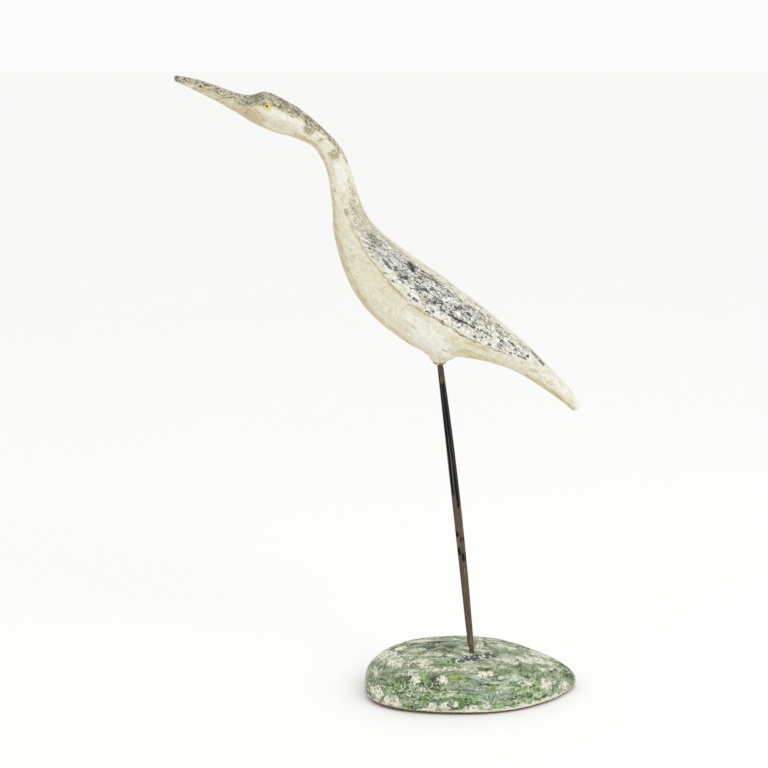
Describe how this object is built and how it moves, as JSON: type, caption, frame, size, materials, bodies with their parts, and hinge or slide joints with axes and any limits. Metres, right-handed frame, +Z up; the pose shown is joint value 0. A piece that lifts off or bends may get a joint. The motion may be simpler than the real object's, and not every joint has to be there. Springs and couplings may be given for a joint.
{
  "type": "folk art heron sculpture",
  "caption": "Standing folk art wading bird: carved painted wooden body with long neck and bill, on thin iron rod legs in a low green painted mound.",
  "frame": {"origin": "middle of the flat underside of the mound", "axes": "+Z up; the bird looks along -X and its left side is at -Y"},
  "size_m": [0.5165, 0.2097, 0.8035],
  "materials": {
    "painted_wood": "old oil paint on carved wood: cream and white with blue-black flaking wings and a speckled grey-brown crown and bill, worn and crackled",
    "yellow_glass": "glossy yellow glass with a dark pupil",
    "rusty_iron": "rusty iron rod with remnants of glossy black paint",
    "painted_mound": "green, teal and blue-black brushed paint, chipped down to a cream ground"
  },
  "bodies": {
    "root": {"heron": "painted_wood", "eye_left": "yellow_glass", "eye_right": "yellow_glass", "leg_left": "rusty_iron", "leg_right": "rusty_iron", "base": "painted_mound"}
  },
  "joints": []
}
